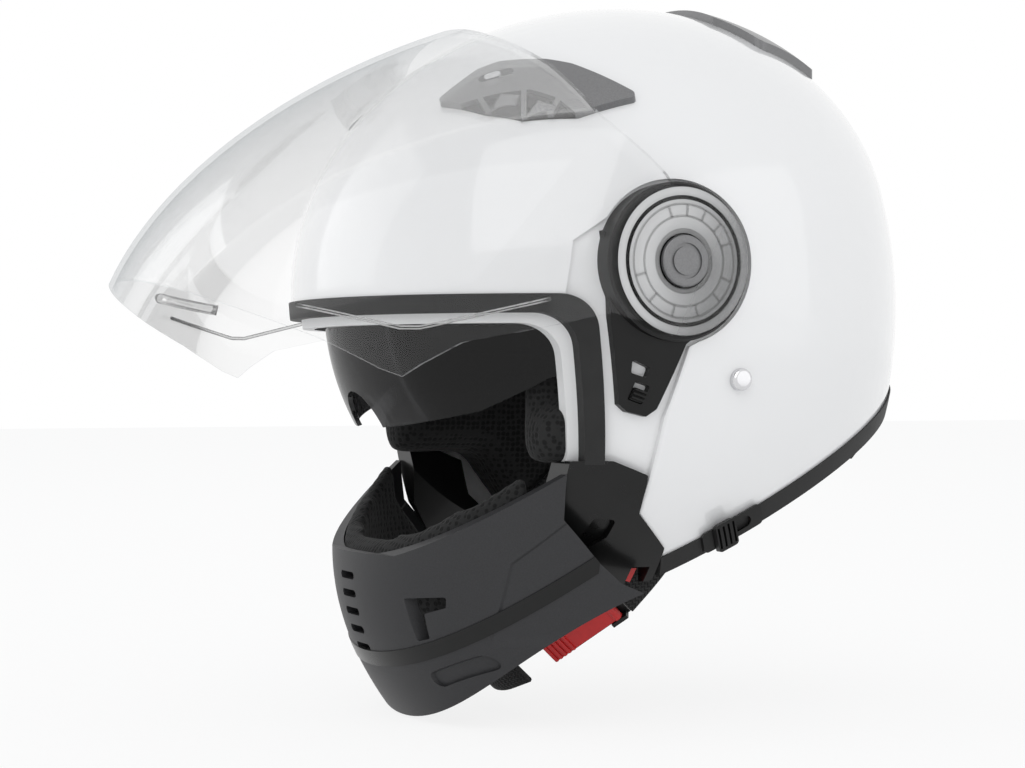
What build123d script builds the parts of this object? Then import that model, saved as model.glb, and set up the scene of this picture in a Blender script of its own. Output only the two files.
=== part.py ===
from build123d import *
import os

# Modular motorcycle helmet: a hard shell with its padding, a clear face shield, a smoke inner
# visor, a chin bar that lifts off, brow vents, and a chin strap with a ratchet buckle.
# Millimetres. Z is up, the face looks along -Y and X points to the wearer's left.
# The origin is midway between the two pivots of the face shield, and the helmet stands in
# the nose-down pose in which a head holds it. Left-hand pieces are modelled at +X and mirrored.

# Driving dimensions of the shell: one lopsided ellipsoid, pitched nose down
shell_width = 238.0
half_width = shell_width / 2
front_reach = 135.0
back_reach = 140.5
crown_rise = 116.5
nape_drop = 172.0
shell_centre = (18.6, 1.4)
shell_pitch = 16.5
shell_fullness = 0.6
round_fullness = 0.5523
shell_wall = 4.0
recess_depth = 2.5
liner_wall = 30.0
gasket_proud = 0.9
trim_wall = 6.5

# Side profile of the openings, as (y, z)
brow_level = -13.0
port_back_top = (-34.0, -13.0)
port_back_low = (-23.0, -82.0)
port_corner = 16.0
pod_notch = [(-9.0, -88.0), (-9.0, -103.0)]
rim_front = (10.0, -121.0)
rim_middle = (80.0, -83.0)
rim_back = (172.0, -38.0)
far = 260.0

# Face shield, a plain ellipsoid about the pivots that is pitched the same way
shield_half_width = 128.0
shield_long = 213.0
shield_short = 117.0
shield_pitch = 17.0
shield_wall = 2.2
ear_face = 119.9
ear_radius = 30.0

# Inner visor, which turns about its own pivots
inner_pivot = (12.0, -12.0)
inner_radius = 114.0
inner_half_width = 99.0
inner_wall = 2.0
inner_gap = 1.6

unit_radius = 100.0


def egg(less, half=half_width, reach=(front_reach, back_reach, crown_rise, nape_drop),
        centre=shell_centre, pitch=shell_pitch, fullness=shell_fullness):
    """A lopsided ellipsoid, drawn in by a wall: a turned half profile, stretched by quarters."""
    side = half - less
    front, back, top, bottom = (length - less for length in reach)
    with BuildPart(mode=Mode.PRIVATE) as body:
        for along, up in ((-front, top), (back, top), (-front, -bottom), (back, -bottom)):
            add(quarter_egg(side, along, up, fullness))
    return body.part.moved(Location((0, *centre), (pitch, 0, 0)))


def quarter_egg(side, along, up, fullness):
    """One quarter of the egg, between the level plane and the upright one."""
    with BuildPart(mode=Mode.PRIVATE) as lune:
        with BuildSketch(Plane.XY):
            with BuildLine():
                Bezier((side, 0), (side, fullness * unit_radius),
                       (fullness * side, unit_radius), (0, unit_radius))
                Bezier((0, unit_radius), (-fullness * side, unit_radius),
                       (-side, fullness * unit_radius), (-side, 0))
                Line((-side, 0), (side, 0))
            make_face()
        revolve(axis=Axis.X, revolution_arc=90)
    stretched = lune.part.scale((1, abs(along) / unit_radius, abs(up) / unit_radius), about=(0, 0, 0))
    if along < 0:
        stretched = stretched.mirror(Plane.XZ)
    if up < 0:
        stretched = stretched.mirror(Plane.XY)
    return stretched


def round_egg(half, long_reach, short_reach, centre=(0.0, 0.0), pitch=0.0):
    """A plain ellipsoid, turned about X and stretched in one piece."""
    with BuildPart(mode=Mode.PRIVATE) as ball:
        with BuildSketch(Plane.XY):
            with BuildLine():
                CenterArc((0, 0), unit_radius, 0, 180)
                Line((-unit_radius, 0), (unit_radius, 0))
            make_face()
        revolve(axis=Axis.X)
    stretch = (half / unit_radius, long_reach / unit_radius, short_reach / unit_radius)
    return ball.part.scale(stretch, about=(0, 0, 0)).moved(Location((0, *centre), (pitch, 0, 0)))


def outline(points, rounding=0.0, plane=Plane.YZ):
    """A closed polygon on a plane, its corners rounded."""
    with BuildSketch(plane, mode=Mode.PRIVATE) as face:
        with BuildLine():
            Polyline(*points, close=True)
        make_face()
        if rounding:
            fillet(face.vertices(), rounding)
    return face.sketch


def side_block(face, start=0.0, end=far):
    """What lies behind a side outline, on the wearer's left, between two distances."""
    with BuildPart(mode=Mode.PRIVATE) as block:
        extrude(face.moved(Location((start, 0, 0))), amount=end - start)
    return block.part


def through_block(face):
    """A side outline carried right through the helmet."""
    with BuildPart(mode=Mode.PRIVATE) as block:
        extrude(face, amount=far, both=True)
    return block.part


def write(piece, name):
    """Label a finished piece and save it."""
    piece.label = name
    export_step(piece, f"parts/{name}.step")


def write_pair(piece, name):
    """Save a left-hand piece and its mirror image."""
    write(piece, f"{name}_left")
    write(piece.mirror(Plane.YZ), f"{name}_right")


os.makedirs("parts", exist_ok=True)
outer_egg = egg(0)
proud_egg = egg(-gasket_proud)
recess_egg = egg(recess_depth)
inner_egg = egg(shell_wall)
trim_egg = egg(trim_wall)
cavity_egg = egg(shell_wall + liner_wall)

# Side outline of everything that the hard shell leaves open, rim line included
with BuildSketch(Plane.YZ) as shell_opening:
    with BuildLine():
        Polyline((-far, brow_level), port_back_top, port_back_low, *pod_notch, rim_front)
        ThreePointArc(rim_front, rim_middle, rim_back)
        Polyline(rim_back, (far, -far), (-far, -far), (-far, brow_level))
    make_face()
    fillet(shell_opening.vertices().sort_by_distance((*port_back_top, 0))[0], port_corner)

# Hard shell, with the shallow recess that the shield's pivots and the chin bar's ends sit in
recess_radius = 33.5
recess_edge = [(-42, 8), (-8, 32), (14, -30), (6, -34), (-2, -63), (-5, -102), (11, -122), (-60, -122)]
with BuildPart() as recess:
    with BuildSketch(Plane.YZ):
        with BuildLine():
            Polyline(*recess_edge, close=True)
        make_face()
        Circle(recess_radius)
    extrude(amount=far, both=True)
    add(recess_egg, mode=Mode.SUBTRACT)

with BuildPart() as outer_shell:
    add(outer_egg)
    add(inner_egg, mode=Mode.SUBTRACT)
    extrude(shell_opening.sketch, amount=far, both=True, mode=Mode.SUBTRACT)
    add(recess.part, mode=Mode.SUBTRACT)
write(outer_shell.part, "outer_shell")

# Rubber strip round the face opening, over the shell's edge
gasket_width = 7.5
gasket_end = -81.5


def strip_face(gap_from, gap_to):
    """Side outline of a strip along the brow and down, given by its distances in from the shell."""
    top_y, top_z = port_back_top
    low_y, low_z = port_back_low
    down = (top_z - gasket_end) * (low_y - top_y) / (top_z - low_z)
    out_corner = (top_y - gap_from, top_z - gap_from)
    in_corner = (top_y - gap_to, top_z - gap_to)
    with BuildSketch(Plane.YZ, mode=Mode.PRIVATE) as strip:
        with BuildLine():
            Polyline((-far, out_corner[1]), out_corner, (out_corner[0] + down, gasket_end),
                     (in_corner[0] + down, gasket_end), in_corner, (-far, in_corner[1]), close=True)
        make_face()
        for corner in (out_corner, in_corner):
            fillet(strip.vertices().sort_by_distance((*corner, 0))[0], port_corner)
    return strip.sketch


with BuildPart() as eyeport_gasket:
    add(proud_egg)
    add(trim_egg, mode=Mode.SUBTRACT)
    add(through_block(strip_face(0, gasket_width)), mode=Mode.INTERSECT)
write(eyeport_gasket.part, "eyeport_gasket")

# White inner lip that frames the opening behind the rubber
lip_width = 4.0
lip_back = 9.0
lip_egg = egg(lip_back)
with BuildPart() as port_frame:
    add(through_block(strip_face(0, gasket_width + lip_width)))
    add(lip_egg, mode=Mode.SUBTRACT)

with BuildPart() as eyeport_lip:
    add(proud_egg)
    add(lip_egg, mode=Mode.SUBTRACT)
    add(through_block(strip_face(gasket_width, gasket_width + lip_width)), mode=Mode.INTERSECT)
    add(inner_egg, mode=Mode.INTERSECT)
write(eyeport_lip.part, "eyeport_lip")

# Rubber trim under the shell's lower rim
trim_drop = 8.0
trim_shift = (2.5, -trim_drop)
with BuildSketch(Plane.YZ) as trim_band:
    with BuildLine():
        low_front, low_middle, low_back = [
            (y + trim_shift[0], z + trim_shift[1]) for y, z in (rim_front, rim_middle, rim_back)]
        ThreePointArc(rim_front, rim_middle, rim_back)
        Line(rim_back, low_back)
        ThreePointArc(low_back, low_middle, low_front)
        Line(low_front, rim_front)
    make_face()
with BuildPart() as rim_trim:
    extrude(trim_band.sketch, amount=far, both=True)
    add(proud_egg, mode=Mode.INTERSECT)
    add(trim_egg, mode=Mode.SUBTRACT)
write(rim_trim.part, "rim_trim")

# Room that the inner visor swings through, between the shell and the padding
pocket_outline = [(24, -30), (24, 8), (-40, 96), (-140, 110), (-140, -90), (-50, -66), (-18, -46)]
inner_clear = round_egg(inner_half_width - inner_wall - inner_gap, inner_radius - inner_wall - inner_gap,
                        inner_radius - inner_wall - inner_gap, centre=inner_pivot)
with BuildPart() as visor_pocket:
    extrude(outline(pocket_outline), amount=far, both=True)
    add(inner_clear, mode=Mode.SUBTRACT)

# Shock liner of stiff foam, with the head's cavity
liner_step = [(-50, -25), (-46, -34), (54, -34), (54, -80)]
liner_rise = 12.0
with BuildSketch(Plane.YZ) as liner_opening:
    with BuildLine():
        roll_middle, roll_back = [(y, z + liner_rise) for y, z in (rim_middle, rim_back)]
        Polyline((-far, liner_step[0][1]), *liner_step)
        ThreePointArc(liner_step[-1], roll_middle, roll_back)
        Polyline(roll_back, (far, -far), (-far, -far), (-far, liner_step[0][1]))
    make_face()
with BuildPart() as eps_liner:
    add(inner_egg)
    add(cavity_egg, mode=Mode.SUBTRACT)
    extrude(liner_opening.sketch, amount=far, both=True, mode=Mode.SUBTRACT)
    add(visor_pocket.part, mode=Mode.SUBTRACT)
write(eps_liner.part, "eps_liner")

# Comfort pads: crown, two cheeks, and the roll round the neck
crown_pad_wall = 8.0
crown_pad_edge = [(-far, 45), (-70, 45), (100, 15), (far, 15), (far, far), (-far, far)]
with BuildPart() as crown_pad:
    add(cavity_egg)
    add(egg(shell_wall + liner_wall + crown_pad_wall), mode=Mode.SUBTRACT)
    extrude(outline(crown_pad_edge), amount=far, both=True, mode=Mode.INTERSECT)
write(crown_pad.part, "crown_pad")

cheek_outline = [(-47, -37), (-30, -34), (53.6, -34), (53.6, -88), (16, -112), (-3, -80.5), (-47, -80.5)]
cheek_inside = 62.0
cheek_crown = 9.0
with BuildPart() as cheek_pad_left:
    with BuildSketch(Plane.YZ.offset(cheek_inside)):
        with BuildLine():
            Polyline(*cheek_outline, close=True)
        make_face()
    extrude(amount=far)
    chamfer(cheek_pad_left.faces().sort_by(Axis.X)[0].edges(), cheek_crown)
    add(inner_egg, mode=Mode.INTERSECT)
    add(visor_pocket.part, mode=Mode.SUBTRACT)
    add(port_frame.part, mode=Mode.SUBTRACT)
write_pair(cheek_pad_left.part, "cheek_pad")

roll_wall = 24.0
with BuildSketch(Plane.YZ) as roll_band:
    with BuildLine():
        Polyline(low_middle, (54, low_middle[1] - 11), (54, -80.4))
        ThreePointArc((54, -80.4), (roll_middle[0], roll_middle[1] - 0.4), (roll_back[0], roll_back[1] - 0.4))
        Line((roll_back[0], roll_back[1] - 0.4), low_back)
        ThreePointArc(low_back, (120, -71), low_middle)
    make_face()
with BuildPart() as neck_roll:
    extrude(roll_band.sketch, amount=far, both=True)
    add(trim_egg, mode=Mode.INTERSECT)
    add(egg(trim_wall + roll_wall), mode=Mode.SUBTRACT)
write(neck_roll.part, "neck_roll")

# Base plates of the shield's pivots, with the tongue that carries the release lever
base_radius = 32.0
base_top = 119.2
base_inside = 95.0
tongue_outline = [(-31, 12), (-28, -22), (-21.5, -57), (-18, -60), (-10, -62), (-6, -59), (4, -33), (20, -20)]
window_outline = [(-18, -39), (-10.5, -42.5), (-11.5, -46.5), (-18, -44.5)]
lever_lean = -20
lever_rest = (-14.5, -53.4)
lever_size = (5.6, 5.0)
lever_travel = 2.0
lever_play = 0.4
lever_proud = 1.6
rib_count = 3
rib_width = 0.8
lever_place = Plane.YZ.offset(base_inside) * Location((*lever_rest, 0), (0, 0, lever_lean))
with BuildPart() as tongue:
    extrude(outline(tongue_outline), amount=far, both=True)
    add(proud_egg, mode=Mode.INTERSECT)
with BuildPart() as pivot_base_left:
    with BuildSketch(Plane.YZ.offset(base_inside)):
        Circle(base_radius)
    extrude(amount=base_top - base_inside)
    chamfer(pivot_base_left.faces().sort_by(Axis.X)[-1].edges(), 1.0)
    add(side_block(outline(tongue_outline), base_inside).intersect(tongue.part))
    add(recess_egg, mode=Mode.SUBTRACT)
    extrude(outline(window_outline, 1.0), amount=far, mode=Mode.SUBTRACT)
    with BuildSketch(lever_place):
        with Locations((0, lever_travel / 2)):
            RectangleRounded(lever_size[0] + 2 * lever_play,
                             lever_size[1] + lever_travel + 2 * lever_play, rib_width)
    extrude(amount=far, mode=Mode.SUBTRACT)
write_pair(pivot_base_left.part, "pivot_base")

# Ribbed levers that free the shield, one in the slot of each tongue
lever_egg = egg(-gasket_proud - lever_proud)
with BuildPart() as lever_ribs:
    with BuildSketch(lever_place):
        with GridLocations(0, lever_size[1] / rib_count, 1, rib_count):
            Rectangle(lever_size[0], rib_width)
    extrude(amount=base_top - base_inside)
    add(lever_egg, mode=Mode.INTERSECT)
with BuildPart() as shield_release_left:
    with BuildSketch(lever_place):
        RectangleRounded(*lever_size, rib_width)
    extrude(amount=base_top - base_inside)
    add(proud_egg, mode=Mode.INTERSECT)
    add(lever_ribs.part)
    add(recess_egg, mode=Mode.SUBTRACT)
write_pair(shield_release_left.part.moved(Location((lever_play, 0, 0))), "shield_release")

# Hub pins that the shield turns on
hub_radius = 8.0
hub_fit = 0.06
cap_radius = 10.4
cap_gap = 0.15
cap_thickness = 2.0
cap_edge = 0.8
cap_groove = (7.2, 5.6)
groove_depth = 0.8
ear_outside = ear_face + shield_wall
with BuildPart() as shield_hub_left:
    with BuildSketch(Plane.YZ.offset(base_top)):
        Circle(hub_radius)
    extrude(amount=ear_outside + cap_gap - base_top)
    with BuildSketch(Plane.YZ.offset(ear_outside + cap_gap)):
        Circle(cap_radius)
    extrude(amount=cap_thickness)
    fillet(shield_hub_left.faces().sort_by(Axis.X)[-1].edges(), cap_edge)
    with BuildSketch(Plane.YZ.offset(ear_outside + cap_gap + cap_thickness)):
        Circle(cap_groove[0])
        Circle(cap_groove[1], mode=Mode.SUBTRACT)
    extrude(amount=-groove_depth, mode=Mode.SUBTRACT)
write_pair(shield_hub_left.part, "shield_hub")

# Clear face shield in its raised pose, with a flat round ear on each pivot
shield_low = [(4, -29.7), (-31, -21), (-92, -33), (-106, -41), (-113, -46), (-121, -43),
              (-142, -31.5), (-164, -21.6), (-195, -7), (-222, 4)]
shield_top = [(-222, 150), (-66, 136), (-51, 98), (-39, 81), (-29, 58.5), (-12, 40), (-4, 29.7)]
ear_ring = 26.0
ear_ring_width = 1.2
ear_ring_height = 0.6
with BuildPart() as face_shield:
    add(round_egg(shield_half_width, shield_long, shield_short, pitch=shield_pitch))
    with BuildSketch(Plane.YZ.offset(-ear_outside)):
        Rectangle(4 * far, 4 * far)
    extrude(amount=2 * ear_outside, mode=Mode.INTERSECT)
    with BuildPart(mode=Mode.PRIVATE) as shield_hollow:
        add(round_egg(shield_half_width - shield_wall, shield_long - shield_wall,
                      shield_short - shield_wall, pitch=shield_pitch))
        with BuildSketch(Plane.YZ.offset(-ear_face)):
            Rectangle(4 * far, 4 * far)
        extrude(amount=2 * ear_face, mode=Mode.INTERSECT)
    add(shield_hollow.part, mode=Mode.SUBTRACT)
    with BuildSketch(Plane.YZ):
        with BuildLine():
            Polyline(*shield_low, *shield_top, close=True)
        make_face()
        Circle(ear_radius)
    extrude(amount=far, both=True, mode=Mode.INTERSECT)
    with BuildSketch(Plane.YZ):
        Circle(hub_radius + hub_fit)
    extrude(amount=far, both=True, mode=Mode.SUBTRACT)
    with BuildSketch(Plane.YZ.offset(ear_outside)):
        Circle(ear_ring)
        Circle(ear_ring - ear_ring_width, mode=Mode.SUBTRACT)
    ring = extrude(amount=ear_ring_height)
    add(ring.mirror(Plane.YZ))
write(face_shield.part, "face_shield")

# Brow vents: low titanium covers over dark intakes with three fins, and a slider in each
vent_middle = (76, -43, 72)
vent_out = (0.615, -0.456, 0.643)
vent_along = (0.5875, 0.809, 0.0)
vent_outline = [(-42, -3), (-26, 12), (-17, 15), (3, 13.5), (14, 10.5), (43, -3), (19, -17),
                (-3, -19.5), (-19, -15)]
vent_mouth = [(-33, -9.5), (-14, -6.5), (-1, -5.6), (10, -10), (20, -18.5), (-3, -23), (-22, -19)]
vent_fins = ((-19, 30), (-3, 6), (10, -18))
vent_rounding = 2.0
mouth_rounding = 1.5
fin_level = -13.0
fin_width = 2.2
fin_length = 18.0
vent_proud = 3.2
vent_plane = Plane(origin=vent_middle, x_dir=vent_along, z_dir=vent_out)
vent_depth = 40.0
slider_middle = (-17, 5.5)
slider_lean = 12
slider_slot = (15.0, 4.6)
slider_size = (7.0, 3.8)
slider_travel = 3.0
vent_egg = egg(-vent_proud)
with BuildPart() as vent_block:
    extrude(outline(vent_outline, vent_rounding, vent_plane), amount=vent_depth, both=True)
    add(outer_egg, mode=Mode.SUBTRACT)
with BuildPart() as vent_mouth_block:
    extrude(outline(vent_mouth, mouth_rounding, vent_plane), amount=vent_depth, both=True)
    with BuildSketch(vent_plane):
        for place, lean in vent_fins:
            with Locations(Location((place, fin_level, 0), (0, 0, lean))):
                Rectangle(fin_width, fin_length)
    extrude(amount=vent_depth, both=True, mode=Mode.SUBTRACT)
slider_place = vent_plane * Location((*slider_middle, 0), (0, 0, slider_lean))
with BuildPart() as vent_intake_left:
    extrude(outline(vent_mouth, mouth_rounding, vent_plane), amount=vent_depth, both=True)
    add(vent_block.part, mode=Mode.INTERSECT)
    add(proud_egg, mode=Mode.INTERSECT)
write_pair(vent_intake_left.part, "vent_intake")
with BuildPart() as brow_vent_left:
    add(vent_block.part)
    add(vent_egg, mode=Mode.INTERSECT)
    add(vent_mouth_block.part, mode=Mode.SUBTRACT)
    add(vent_intake_left.part, mode=Mode.SUBTRACT)
    with BuildSketch(slider_place):
        SlotOverall(*slider_slot)
    extrude(amount=vent_depth, both=True, mode=Mode.SUBTRACT)
write_pair(brow_vent_left.part, "brow_vent")

with BuildPart() as slider_block:
    with BuildSketch(slider_place):
        with Locations((-slider_travel / 2, 0)):
            SlotOverall(*slider_size)
    extrude(amount=vent_depth, both=True)
    add(outer_egg, mode=Mode.SUBTRACT)
    add(vent_egg, mode=Mode.INTERSECT)
write_pair(slider_block.part.moved(Location(Vector(*vent_out) * lever_play)), "vent_slider")

# Exhaust spoiler over the back of the crown
spoiler_outline = [(-49, 56), (49, 56), (67, 70), (56, 104), (30, 112), (-30, 112), (-56, 104), (-67, 70)]
spoiler_rounding = 5.0
spoiler_slots = 5
spoiler_slot_size = (12.0, 5.0)
spoiler_slot_step = 18.0
spoiler_slot_line = 99.0
with BuildPart() as rear_vent:
    extrude(outline(spoiler_outline, spoiler_rounding, Plane.XY), amount=far)
    add(vent_egg, mode=Mode.INTERSECT)
    add(outer_egg, mode=Mode.SUBTRACT)
    with BuildSketch(Plane.XY):
        with Locations((0, spoiler_slot_line)):
            with GridLocations(spoiler_slot_step, 0, spoiler_slots, 1):
                SlotOverall(*spoiler_slot_size)
    extrude(amount=far, mode=Mode.SUBTRACT)
write(rear_vent.part, "rear_vent")

# Accessory studs with domed heads
stud_place = (30, -47)
stud_radius = 4.6
stud_top = 118.4
stud_dome = 1.8
with BuildPart() as side_stud_left:
    with BuildSketch(Plane.YZ.offset(base_inside)):
        with Locations(stud_place):
            Circle(stud_radius)
    extrude(amount=stud_top - base_inside)
    fillet(side_stud_left.faces().sort_by(Axis.X)[-1].edges(), stud_dome)
    add(outer_egg, mode=Mode.SUBTRACT)
write_pair(side_stud_left.part, "side_stud")

# Side pods, fixed to the shell, that the chin bar's ends lock into
pod_outline = [(-36.3, -80), (-20, -80), (-5, -86), (-5, -102), (10, -117), (10, -131), (-4, -134),
               (-18, -130), (-28, -121), (-36.3, -105)]
pod_window = [(-22, -103.6), (-13.4, -104.6), (-15, -112), (-22.4, -117.6), (-25, -112)]
pod_rounding = 1.2
window_rounding = 1.5
pod_wall = 12.0
pod_inside = 71.5
tab_width = 4.0
tab_slot_height = 12.0
tab_place = (3.0, -131.0)
tab_travel = 2.5
tab_inside = 69.5
pod_egg = egg(pod_wall)
with BuildPart() as side_pod_left:
    add(side_block(outline(pod_outline, pod_rounding), pod_inside))
    add(proud_egg, mode=Mode.INTERSECT)
    add(pod_egg, mode=Mode.SUBTRACT)
    add(outer_shell.part, mode=Mode.SUBTRACT)
    add(cheek_pad_left.part, mode=Mode.SUBTRACT)
    add(eyeport_gasket.part, mode=Mode.SUBTRACT)
    add(eyeport_lip.part, mode=Mode.SUBTRACT)
    add(rim_trim.part, mode=Mode.SUBTRACT)
    add(eps_liner.part, mode=Mode.SUBTRACT)
    with BuildSketch(Plane.YZ):
        with Locations(tab_place):
            Rectangle(tab_width + tab_travel + 2 * lever_play, tab_slot_height)
    extrude(amount=far, mode=Mode.SUBTRACT)
    with BuildPart(mode=Mode.PRIVATE) as window_cut:
        extrude(outline(pod_window, window_rounding), amount=far)
        add(recess_egg, mode=Mode.SUBTRACT)
    add(window_cut.part, mode=Mode.SUBTRACT)
write_pair(side_pod_left.part, "side_pod")

# Red tabs under the pods, pulled back to let the chin bar go
with BuildPart() as chin_release_left:
    with BuildSketch(Plane.YZ.offset(tab_inside)):
        with Locations((tab_place[0] - tab_travel / 2, tab_place[1] + 0.6)):
            Rectangle(tab_width, 9)
        with Locations((tab_place[0] - tab_travel / 2 + 1, tab_place[1] - 5.5)):
            Rectangle(tab_width + 3, 3.4)
    extrude(amount=far)
    add(recess_egg, mode=Mode.INTERSECT)
    add(trim_egg, mode=Mode.SUBTRACT)
write_pair(chin_release_left.part, "chin_release")

# Chin bar: level sections, widest at the top and drawn in below
chin_sections = [(-78.0, 102.0, 85.0), (-120.0, 90.0, 97.0), (-197.0, 69.0, 68.0)]
chin_fullness = 0.6
chin_back = 6.0
chin_wall = 5.0
chin_padding = 9.0


def chin_block(less):
    """The chin bar's full outer form, drawn in by a wall."""
    with BuildPart(mode=Mode.PRIVATE) as block:
        for level, half, reach in chin_sections:
            side, front = half - less, reach - less
            with BuildSketch(Plane.XY.offset(level)):
                with BuildLine() as rim:
                    Bezier((side, 0), (side, -chin_fullness * front),
                           (chin_fullness * side, -front), (0, -front))
                    Bezier((0, -front), (-chin_fullness * side, -front),
                           (-side, -chin_fullness * front), (-side, 0))
                    Polyline((-side, 0), (-side, chin_back), (side, chin_back), (side, 0))
                make_face()
        loft()
    return block.part


chin_top_back = (-37.0, -85.5)
chin_top_front = (-90.0, -120.5)
chin_seam = [(-37, -92), (-36.5, -104), (-20, -122), (-9, -131), (2, -135.5)]
chin_low_middle = (-45.0, -163.0)
chin_lap = 9.0
chin_low_front = (-76.0, -199.0)
band_drop = 43.5
band_height = 8.5
band_proud = 0.5
band_depth = 1.4


def chin_side(rise=0.0, lift=0.0, lap=0.0):
    """Side outline of the chin bar: top raised, bottom lifted, and ends drawn in by a lap."""
    back = (chin_top_back[0] - lap, chin_top_back[1] + rise)
    seam = [(y - lap, z) for y, z in chin_seam]
    low = (chin_low_front[0], chin_low_front[1] + lift)
    with BuildSketch(Plane.YZ, mode=Mode.PRIVATE) as side:
        with BuildLine():
            Polyline(back, (chin_top_front[0], chin_top_front[1] + rise),
                     (-far, chin_top_front[1] + rise), (-far, chin_low_front[1]), low)
            ThreePointArc(low, (chin_low_middle[0] - lap / 2, chin_low_middle[1] + lift), seam[-1])
            Polyline(*seam[::-1], back)
        make_face()
    return side.sketch


chin_outer = chin_block(0)
chin_inner = chin_block(chin_wall)
slope = (chin_top_front[1] - chin_top_back[1]) / (chin_top_front[0] - chin_top_back[0])
band_top = (-20.0, chin_top_back[1] - band_drop + slope * (-20.0 - chin_top_back[0]))
band_low = (-90.0, chin_top_back[1] - band_drop + slope * (-90.0 - chin_top_back[0]))
band_outline = [band_top, band_low, (-far, band_low[1]), (-far, band_low[1] - band_height),
                (band_low[0], band_low[1] - band_height), (band_top[0], band_top[1] - band_height)]
slit_count = 5
slit_step = 7.8
slit_size = (15.0, 3.2)
slit_top = -131.0
side_vent_outline = [(40, -138), (57, -136.5), (56, -141), (47.5, -144), (46.5, -154.5), (41, -156)]
lip_slot = (52, -168)
lip_slot_size = (26.0, 6.5)
lip_slot_lean = 24.0
lip_slot_depth = 1.6
with BuildPart() as chin_bar_shell:
    add(chin_outer)
    add(chin_inner, mode=Mode.SUBTRACT)
    extrude(chin_side(), amount=far, both=True, mode=Mode.INTERSECT)
    with BuildPart(mode=Mode.PRIVATE) as band_groove:
        extrude(outline(band_outline), amount=far, both=True)
        add(chin_block(band_depth), mode=Mode.SUBTRACT)
    add(band_groove.part, mode=Mode.SUBTRACT)
    with BuildSketch(Plane.XZ):
        with Locations((0, slit_top - slit_step * (slit_count - 1) / 2)):
            with GridLocations(0, slit_step, 1, slit_count):
                SlotOverall(*slit_size)
    extrude(amount=far, mode=Mode.SUBTRACT)
    for mirrored in (1, -1):
        vent = [(mirrored * x, z) for x, z in side_vent_outline]
        extrude(outline(vent, 0.8, Plane.XZ), amount=far, mode=Mode.SUBTRACT)
        with BuildPart(mode=Mode.PRIVATE) as lip_recess:
            with BuildSketch(Plane.XZ):
                with Locations((mirrored * lip_slot[0], lip_slot[1])):
                    SlotOverall(*lip_slot_size, rotation=mirrored * lip_slot_lean)
            extrude(amount=far)
            add(chin_block(lip_slot_depth), mode=Mode.SUBTRACT)
        add(lip_recess.part, mode=Mode.SUBTRACT)
write(chin_bar_shell.part, "chin_bar_shell")

# Gloss band let into the chin bar
with BuildPart() as chin_band:
    add(chin_block(-band_proud))
    add(chin_block(band_depth), mode=Mode.SUBTRACT)
    extrude(outline(band_outline), amount=far, both=True, mode=Mode.INTERSECT)
    extrude(chin_side(), amount=far, both=True, mode=Mode.INTERSECT)
write(chin_band.part, "chin_band")

# Padding inside the chin bar, which stands up as a lip along its top
lining_rise = 1.0
lining_lift = 5.0
with BuildPart() as chin_lining:
    add(chin_inner)
    add(chin_block(chin_wall + chin_padding), mode=Mode.SUBTRACT)
    extrude(chin_side(lining_rise, lining_lift, chin_lap), amount=far, both=True, mode=Mode.INTERSECT)
write(chin_lining.part, "chin_lining")

# Smoke inner visor, half lowered, with arms to its pivots and an arch over the nose
inner_low = [(14, -25), (-8, -33), (-41, -47), (-62, -60), (-88, -68), (-140, -72)]
inner_top = [(-140, 0), (-60, -2), (-12, -4)]
arm_radius = 9.0
nose_arch = (15.0, -67.0)
pin_radius = 3.0
pin_head = 4.6
pin_start = inner_half_width - inner_wall - 0.4
with BuildPart() as sun_visor:
    add(round_egg(inner_half_width, inner_radius, inner_radius, centre=inner_pivot))
    add(round_egg(inner_half_width - inner_wall, inner_radius - inner_wall, inner_radius - inner_wall,
                  centre=inner_pivot), mode=Mode.SUBTRACT)
    with BuildSketch(Plane.YZ):
        with BuildLine():
            Polyline(*inner_low, *inner_top, close=True)
        make_face()
        with Locations(inner_pivot):
            Circle(arm_radius)
    extrude(amount=far, both=True, mode=Mode.INTERSECT)
    with BuildSketch(Plane.XZ):
        with Locations((0, nose_arch[1])):
            Circle(nose_arch[0])
    extrude(amount=far, mode=Mode.SUBTRACT)
    with BuildSketch(Plane.YZ):
        with Locations(inner_pivot):
            Circle(pin_radius + hub_fit)
    extrude(amount=far, both=True, mode=Mode.SUBTRACT)
write(sun_visor.part, "sun_visor")

# Pins that carry the inner visor, headed inside its arms and seated on the shell's wall
with BuildPart() as inner_pin_left:
    with BuildSketch(Plane.YZ.offset(pin_start)):
        with Locations(inner_pivot):
            Circle(pin_radius)
    extrude(amount=far)
    with BuildSketch(Plane.YZ.offset(pin_start)):
        with Locations(inner_pivot):
            Circle(pin_head)
    extrude(amount=-1.0)
    add(inner_egg, mode=Mode.INTERSECT)
write_pair(inner_pin_left.part, "inner_visor_pin")

# Slide on the left of the rim that works the inner visor, in its track
slide_rest = (34.0, -111.5)
slide_lean = 28.5
slide_travel = 10.0
slide_play = 0.7
slide_foot = (6.0, 4.0)
slide_head = (9.0, 13.0)
slide_rib_count = 4
slide_rib_gap = 0.9
slide_rounding = 1.5
track_rounding = 2.0
slide_depth = 35.0
track_size = (28.0, 9.5)
knob_egg = egg(-5.0)
stem_egg = egg(-1.4)
slide_place = Plane.YZ.offset(base_inside - slide_depth) * Location((*slide_rest, 0), (0, 0, slide_lean))
with BuildPart() as slide_track:
    with BuildSketch(slide_place):
        with Locations((slide_travel / 2, 0)):
            RectangleRounded(*track_size, track_rounding)
            SlotOverall(slide_travel + slide_foot[0] + 2 * lever_play, slide_foot[1] + 2 * lever_play,
                        mode=Mode.SUBTRACT)
    extrude(amount=far)
    add(lever_egg, mode=Mode.INTERSECT)
    add(proud_egg, mode=Mode.SUBTRACT)
write(slide_track.part, "slide_track")
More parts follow.
